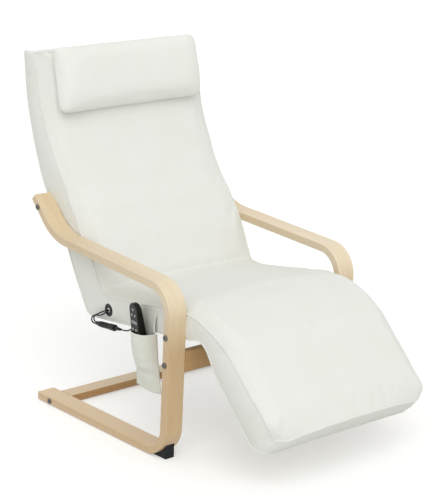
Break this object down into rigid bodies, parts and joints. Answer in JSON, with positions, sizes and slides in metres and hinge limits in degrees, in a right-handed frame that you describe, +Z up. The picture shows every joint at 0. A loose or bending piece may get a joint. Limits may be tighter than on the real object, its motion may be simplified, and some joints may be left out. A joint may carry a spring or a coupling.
{
  "type": "reflexology chair",
  "caption": "Bentwood cantilever lounge chair with a one-piece padded massage mattress, leg rest, head pillow and a wired handset in a side pocket.",
  "frame": {"origin": "on the floor under the middle of the chair's bounding box", "axes": "+Z up, the sitter faces -Y, +X is the sitter's left, away from the handset pocket"},
  "size_m": [0.688, 1.1466, 1.069],
  "materials": {
    "bent_laminate": "clear satin lacquer over bent beech laminate",
    "bolt_steel": "zinc plated",
    "foot_block": "fine matt",
    "glide_felt": "felt",
    "inner_tube": "black powder coat",
    "sling_webbing": "woven webbing",
    "pad_foam": "open cell foam",
    "pad_cover_cloth": "smooth off-white upholstery cloth",
    "pillow_cloth": "smooth off-white upholstery cloth",
    "pocket_cloth": "smooth off-white upholstery cloth",
    "grip_strip": "hook and loop tape",
    "heater_felt": "felt with heating wire",
    "motor_case": "matt",
    "rotor_steel": "plain",
    "control_case": "matt",
    "button_grey": "matt",
    "display_window": "gloss",
    "circuit_board": "solder mask",
    "lead_jacket": "smooth",
    "connector_black": "satin",
    "handset_case": "fine matt"
  },
  "bodies": {
    "chair": {"arm_bolts": "bolt_steel", "arm_mount_bushes": "inner_tube", "control_box": "control_case", "floor_glides": "glide_felt", "foam_back": "pad_foam", "foam_seat": "pad_foam", "foot_cross_tube": "inner_tube", "frame_tube_left": "inner_tube", "frame_tube_right": "inner_tube", "front_cross_rail": "bent_laminate", "front_foot_left": "foot_block", "front_foot_right": "foot_block", "handset_lead": "lead_jacket", "handset_lead_tail": "lead_jacket", "harness_lead_inner": "lead_jacket", "harness_lead_outer": "lead_jacket", "head_cross_tube": "inner_tube", "heater_pad": "heater_felt", "inline_plug": "connector_black", "inline_socket": "connector_black", "lumbar_cross_tube": "inner_tube", "motor_housing_calf": "motor_case", "motor_housing_lumbar": "motor_case", "motor_housing_seat": "motor_case", "motor_housing_upper_back": "motor_case", "pad_cover": "pad_cover_cloth", "pillow_loop_strips": "grip_strip", "pocket_flap": "pocket_cloth", "pocket_front": "pocket_cloth", "rail_barrel_nuts": "bolt_steel", "rail_bolts": "bolt_steel", "rear_floor_stretcher": "bent_laminate", "seat_bolts": "bolt_steel", "seat_front_cross_tube": "inner_tube", "seat_mount_bushes": "inner_tube", "side_frame_left": "bent_laminate", "side_frame_right": "bent_laminate", "side_grommet": "connector_black", "stretcher_barrel_nuts": "bolt_steel", "stretcher_bolts": "bolt_steel", "support_sling": "sling_webbing"},
    "handset": {"handset_back_shell": "handset_case", "handset_circuit_board": "circuit_board", "handset_display_window": "display_window", "handset_front_shell": "handset_case", "handset_strain_relief": "lead_jacket"},
    "button_heat": {"button_heat": "button_grey"},
    "button_level_down": {"button_level_down": "button_grey"},
    "button_level_up": {"button_level_up": "button_grey"},
    "button_power": {"button_power": "button_grey"},
    "button_zone_lower": {"button_zone_lower": "button_grey"},
    "button_zone_upper": {"button_zone_upper": "button_grey"},
    "rotor_calf": {"motor_rotor_calf": "rotor_steel"},
    "rotor_lumbar": {"motor_rotor_lumbar": "rotor_steel"},
    "rotor_seat": {"motor_rotor_seat": "rotor_steel"},
    "rotor_upper_back": {"motor_rotor_upper_back": "rotor_steel"},
    "pillow": {"head_pillow": "pillow_cloth", "pillow_hook_strips": "grip_strip"}
  },
  "joints": [
    {"name": "handset_lift", "type": "slide", "parent": "chair", "child": "handset", "axis": [-0.0872, 0, 0.9962], "range_m": [0, 0.07]},
    {"name": "button_heat_press", "type": "slide", "parent": "handset", "child": "button_heat", "axis": [0.9865, -0.1392, 0.0863], "range_m": [0, 0.0008], "stiffness_N_per_m": 400, "springref_m": -0.0008},
    {"name": "button_level_down_press", "type": "slide", "parent": "handset", "child": "button_level_down", "axis": [0.9865, -0.1392, 0.0863], "range_m": [0, 0.0008], "stiffness_N_per_m": 400, "springref_m": -0.0008},
    {"name": "button_level_up_press", "type": "slide", "parent": "handset", "child": "button_level_up", "axis": [0.9865, -0.1392, 0.0863], "range_m": [0, 0.0008], "stiffness_N_per_m": 400, "springref_m": -0.0008},
    {"name": "button_power_press", "type": "slide", "parent": "handset", "child": "button_power", "axis": [0.9865, -0.1392, 0.0863], "range_m": [0, 0.0008], "stiffness_N_per_m": 400, "springref_m": -0.0008},
    {"name": "button_zone_lower_press", "type": "slide", "parent": "handset", "child": "button_zone_lower", "axis": [0.9865, -0.1392, 0.0863], "range_m": [0, 0.0008], "stiffness_N_per_m": 400, "springref_m": -0.0008},
    {"name": "button_zone_upper_press", "type": "slide", "parent": "handset", "child": "button_zone_upper", "axis": [0.9865, -0.1392, 0.0863], "range_m": [0, 0.0008], "stiffness_N_per_m": 400, "springref_m": -0.0008},
    {"name": "motor_spin_calf", "type": "hinge", "parent": "chair", "child": "rotor_calf", "pos_m": [0, -0.39371, 0.26023], "axis": [0, -0.7314, 0.682], "continuous": true},
    {"name": "motor_spin_seat", "type": "hinge", "parent": "chair", "child": "rotor_seat", "pos_m": [0, -0.03562, 0.36867], "axis": [0, 0.0863, 0.9963], "continuous": true},
    {"name": "motor_spin_lumbar", "type": "hinge", "parent": "chair", "child": "rotor_lumbar", "pos_m": [0, 0.31292, 0.47178], "axis": [0, -0.866, 0.5], "continuous": true},
    {"name": "motor_spin_upper_back", "type": "hinge", "parent": "chair", "child": "rotor_upper_back", "pos_m": [0, 0.41642, 0.65105], "axis": [0, -0.866, 0.5], "continuous": true},
    {"name": "pillow_height", "type": "slide", "parent": "chair", "child": "pillow", "axis": [0, 0.1045, 0.9945], "range_m": [0, 0.05]}
  ]
}
